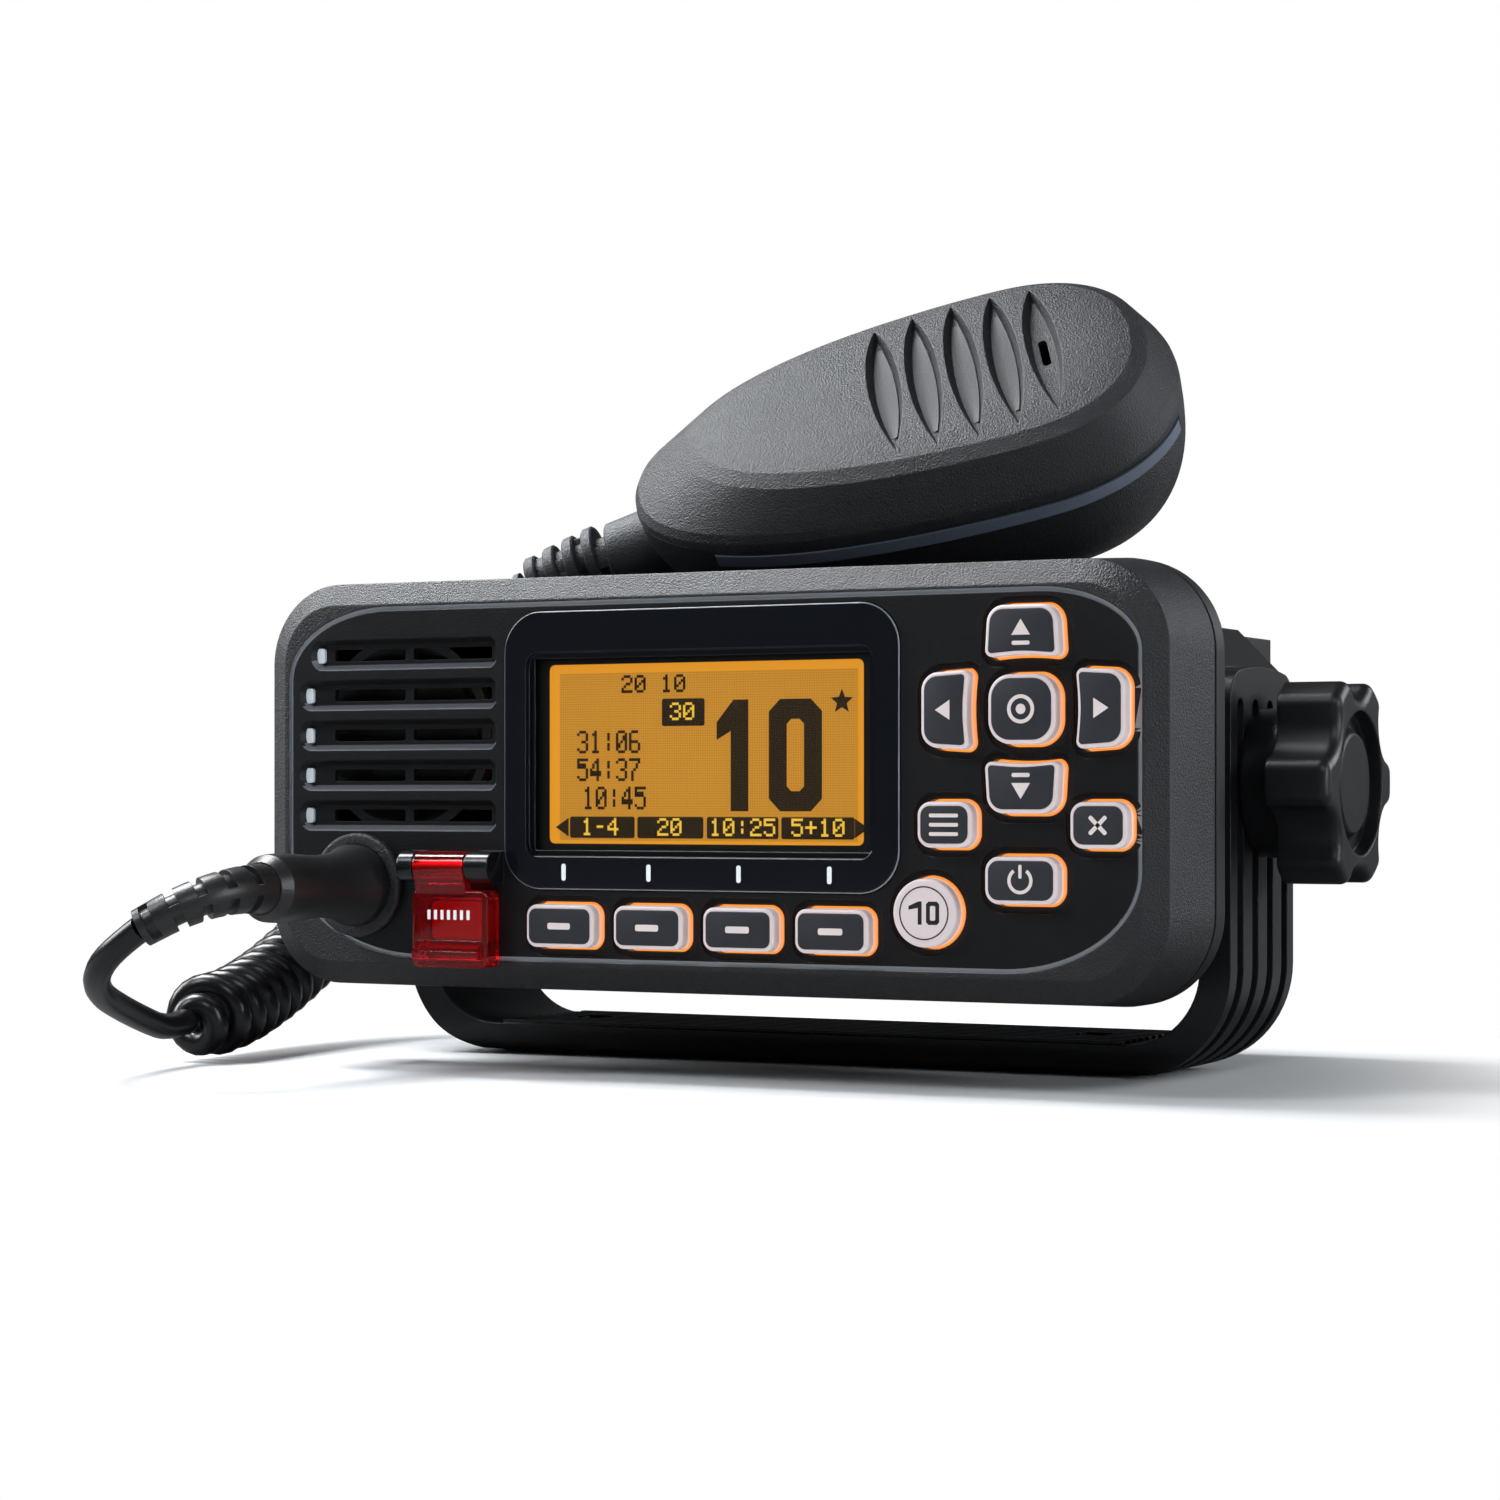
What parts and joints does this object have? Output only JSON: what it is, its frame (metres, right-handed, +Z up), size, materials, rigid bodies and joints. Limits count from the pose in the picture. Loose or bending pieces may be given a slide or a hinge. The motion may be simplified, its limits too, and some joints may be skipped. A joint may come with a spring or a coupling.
{
  "type": "marine VHF radio",
  "caption": "Fixed-mount marine radio in a tilting bracket, with an amber display, lit keys, a covered alarm button and a fist microphone on a curly cord.",
  "frame": {"origin": "middle of the two screw holes in the bracket's base, on its underside", "axes": "+X to the right seen from the front, +Y to the back, +Z up"},
  "size_m": [0.1972, 0.149, 0.1282],
  "materials": {
    "casing": "fine grained black plastic",
    "display_bezel": "glossy black plastic",
    "window": "clear window",
    "screen": "lit amber screen",
    "key_rubber": "dark grey silicone rubber",
    "key_pale": "pale silicone rubber",
    "mat_rubber": "translucent silicone rubber",
    "clear_plastic": "clear acrylic",
    "circuit_board": "green solder resist",
    "speaker_cone": "paper cone in a steel frame",
    "red_plastic": "clear red plastic",
    "diecast": "black painted die casting",
    "seal_rubber": "black rubber",
    "steel": "stainless steel",
    "nickel": "nickel plated brass",
    "tinplate": "tinned steel",
    "bracket_plastic": "black glass filled plastic",
    "knob_plastic": "black plastic with a satin shine",
    "mic_plastic": "dark grey grained plastic",
    "mic_strip": "grey soft rubber",
    "cord_rubber": "black polyurethane"
  },
  "bodies": {
    "bracket": {"bracket": "bracket_plastic"},
    "radio": {"rear_case": "diecast", "front_panel": "casing", "gasket": "seal_rubber", "case_screws": "steel", "display_frame": "display_bezel", "display_lens": "window", "lcd_module": "screen", "keypad_mat": "mat_rubber", "light_guide": "clear_plastic", "front_board": "circuit_board", "speaker": "speaker_cone", "cover_pin": "steel", "main_board": "circuit_board", "rf_shield": "tinplate", "antenna_jack": "nickel", "lead_grommets": "seal_rubber", "clamp_washer_left": "seal_rubber", "clamp_washer_right": "seal_rubber", "cable_collar": "casing", "cable_boot": "cord_rubber", "cable_relief": "cord_rubber", "mic_lead_front": "cord_rubber", "mic_curl": "cord_rubber", "mic_lead_rear": "cord_rubber"},
    "left_knob": {"knob_left": "knob_plastic", "clamp_bolt_left": "steel"},
    "right_knob": {"knob_right": "knob_plastic", "clamp_bolt_right": "steel"},
    "soft_key_1": {"soft_key_1": "key_rubber"},
    "soft_key_2": {"soft_key_2": "key_rubber"},
    "soft_key_3": {"soft_key_3": "key_rubber"},
    "soft_key_4": {"soft_key_4": "key_rubber"},
    "up_key": {"up_key": "key_rubber"},
    "left_key": {"left_key": "key_rubber"},
    "down_key": {"down_key": "key_rubber"},
    "right_key": {"right_key": "key_rubber"},
    "enter_key": {"enter_key": "key_rubber"},
    "menu_key": {"menu_key": "key_rubber"},
    "clear_key": {"clear_key": "key_rubber"},
    "power_key": {"power_key": "key_rubber"},
    "channel_key": {"channel_key": "key_pale"},
    "alarm_button": {"alarm_button": "red_plastic"},
    "alarm_cover": {"alarm_cover": "red_plastic"},
    "microphone": {"mic_rear": "mic_plastic", "mic_front": "mic_plastic", "mic_trim": "mic_strip", "mic_board": "circuit_board", "mic_capsule": "nickel", "hanger_button": "steel", "mic_relief": "cord_rubber"},
    "ptt_key": {"ptt_key": "mic_strip"}
  },
  "joints": [
    {"name": "tilt", "type": "hinge", "parent": "bracket", "child": "radio", "pos_m": [0, 0, 0.0455], "axis": [1, 0, 0], "range_deg": [-20, 10]},
    {"name": "left_knob_turn", "type": "hinge", "parent": "radio", "child": "left_knob", "pos_m": [-0.082, 0, 0.0455], "axis": [-1, 0, 0], "continuous": true},
    {"name": "right_knob_turn", "type": "hinge", "parent": "radio", "child": "right_knob", "pos_m": [0.082, 0, 0.0455], "axis": [1, 0, 0], "continuous": true},
    {"name": "soft_key_1_press", "type": "slide", "parent": "radio", "child": "soft_key_1", "axis": [0, 1, 0], "range_m": [0, 0.0008], "stiffness_N_per_m": 600},
    {"name": "soft_key_2_press", "type": "slide", "parent": "radio", "child": "soft_key_2", "axis": [0, 1, 0], "range_m": [0, 0.0008], "stiffness_N_per_m": 600},
    {"name": "soft_key_3_press", "type": "slide", "parent": "radio", "child": "soft_key_3", "axis": [0, 1, 0], "range_m": [0, 0.0008], "stiffness_N_per_m": 600},
    {"name": "soft_key_4_press", "type": "slide", "parent": "radio", "child": "soft_key_4", "axis": [0, 1, 0], "range_m": [0, 0.0008], "stiffness_N_per_m": 600},
    {"name": "up_key_press", "type": "slide", "parent": "radio", "child": "up_key", "axis": [0, 1, 0], "range_m": [0, 0.0008], "stiffness_N_per_m": 600},
    {"name": "left_key_press", "type": "slide", "parent": "radio", "child": "left_key", "axis": [0, 1, 0], "range_m": [0, 0.0008], "stiffness_N_per_m": 600},
    {"name": "down_key_press", "type": "slide", "parent": "radio", "child": "down_key", "axis": [0, 1, 0], "range_m": [0, 0.0008], "stiffness_N_per_m": 600},
    {"name": "right_key_press", "type": "slide", "parent": "radio", "child": "right_key", "axis": [0, 1, 0], "range_m": [0, 0.0008], "stiffness_N_per_m": 600},
    {"name": "enter_key_press", "type": "slide", "parent": "radio", "child": "enter_key", "axis": [0, 1, 0], "range_m": [0, 0.0008], "stiffness_N_per_m": 600},
    {"name": "menu_key_press", "type": "slide", "parent": "radio", "child": "menu_key", "axis": [0, 1, 0], "range_m": [0, 0.0008], "stiffness_N_per_m": 600},
    {"name": "clear_key_press", "type": "slide", "parent": "radio", "child": "clear_key", "axis": [0, 1, 0], "range_m": [0, 0.0008], "stiffness_N_per_m": 600},
    {"name": "power_key_press", "type": "slide", "parent": "radio", "child": "power_key", "axis": [0, 1, 0], "range_m": [0, 0.0008], "stiffness_N_per_m": 600},
    {"name": "channel_key_press", "type": "slide", "parent": "radio", "child": "channel_key", "axis": [0, 1, 0], "range_m": [0, 0.0008], "stiffness_N_per_m": 600},
    {"name": "alarm_button_press", "type": "slide", "parent": "radio", "child": "alarm_button", "axis": [0, 1, 0], "range_m": [0, 0.0008], "stiffness_N_per_m": 600},
    {"name": "alarm_cover_lift", "type": "hinge", "parent": "radio", "child": "alarm_cover", "pos_m": [-0.0412, -0.05535, 0.0324], "axis": [-1, 0, 0], "range_deg": [0, 110], "stiffness_Nm_per_rad": 0.002},
    {"name": "microphone_lift", "type": "slide", "parent": "radio", "child": "microphone", "axis": [0, 0, 1], "range_m": [0, 0.06]},
    {"name": "ptt_press", "type": "slide", "parent": "microphone", "child": "ptt_key", "axis": [0.4075, -0.6389, -0.6525], "range_m": [0, 0.0015], "stiffness_N_per_m": 700}
  ]
}
